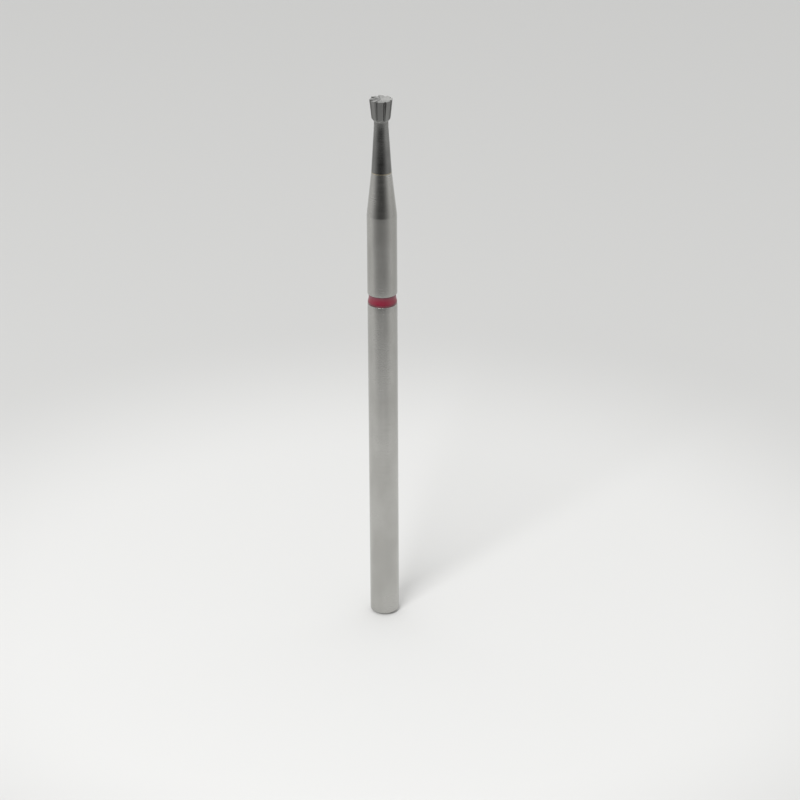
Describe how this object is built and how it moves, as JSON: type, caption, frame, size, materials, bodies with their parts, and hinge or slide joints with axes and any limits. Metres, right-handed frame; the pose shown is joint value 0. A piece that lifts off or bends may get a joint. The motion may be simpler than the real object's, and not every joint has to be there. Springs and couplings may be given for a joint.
{
  "type": "dental bur",
  "caption": "Straight-handpiece dental bur: a parallel steel shank with a coloured ring in a groove, a ground cone and a slim carbide neck, and an inverted cone head with straight cutting blades.",
  "frame": {"origin": "centre of the flat end face of the shank, the end that enters the chuck", "axes": "+Z along the tool's axis, from the shank's end to the cutting tip; +X and +Y across the shank"},
  "size_m": [0.0024, 0.0024, 0.0445],
  "materials": {
    "ground_steel": "fine ground stainless steel, satin",
    "red_lacquer": "thin dark red lacquer, semi-gloss",
    "braze_metal": "thin line of silver braze, ground flush",
    "ground_carbide": "dark grey tungsten carbide, finely ground"
  },
  "bodies": {
    "root": {"steel_shank": "ground_steel", "colour_ring": "red_lacquer", "braze_joint": "braze_metal", "carbide_cutter": "ground_carbide"}
  },
  "joints": []
}
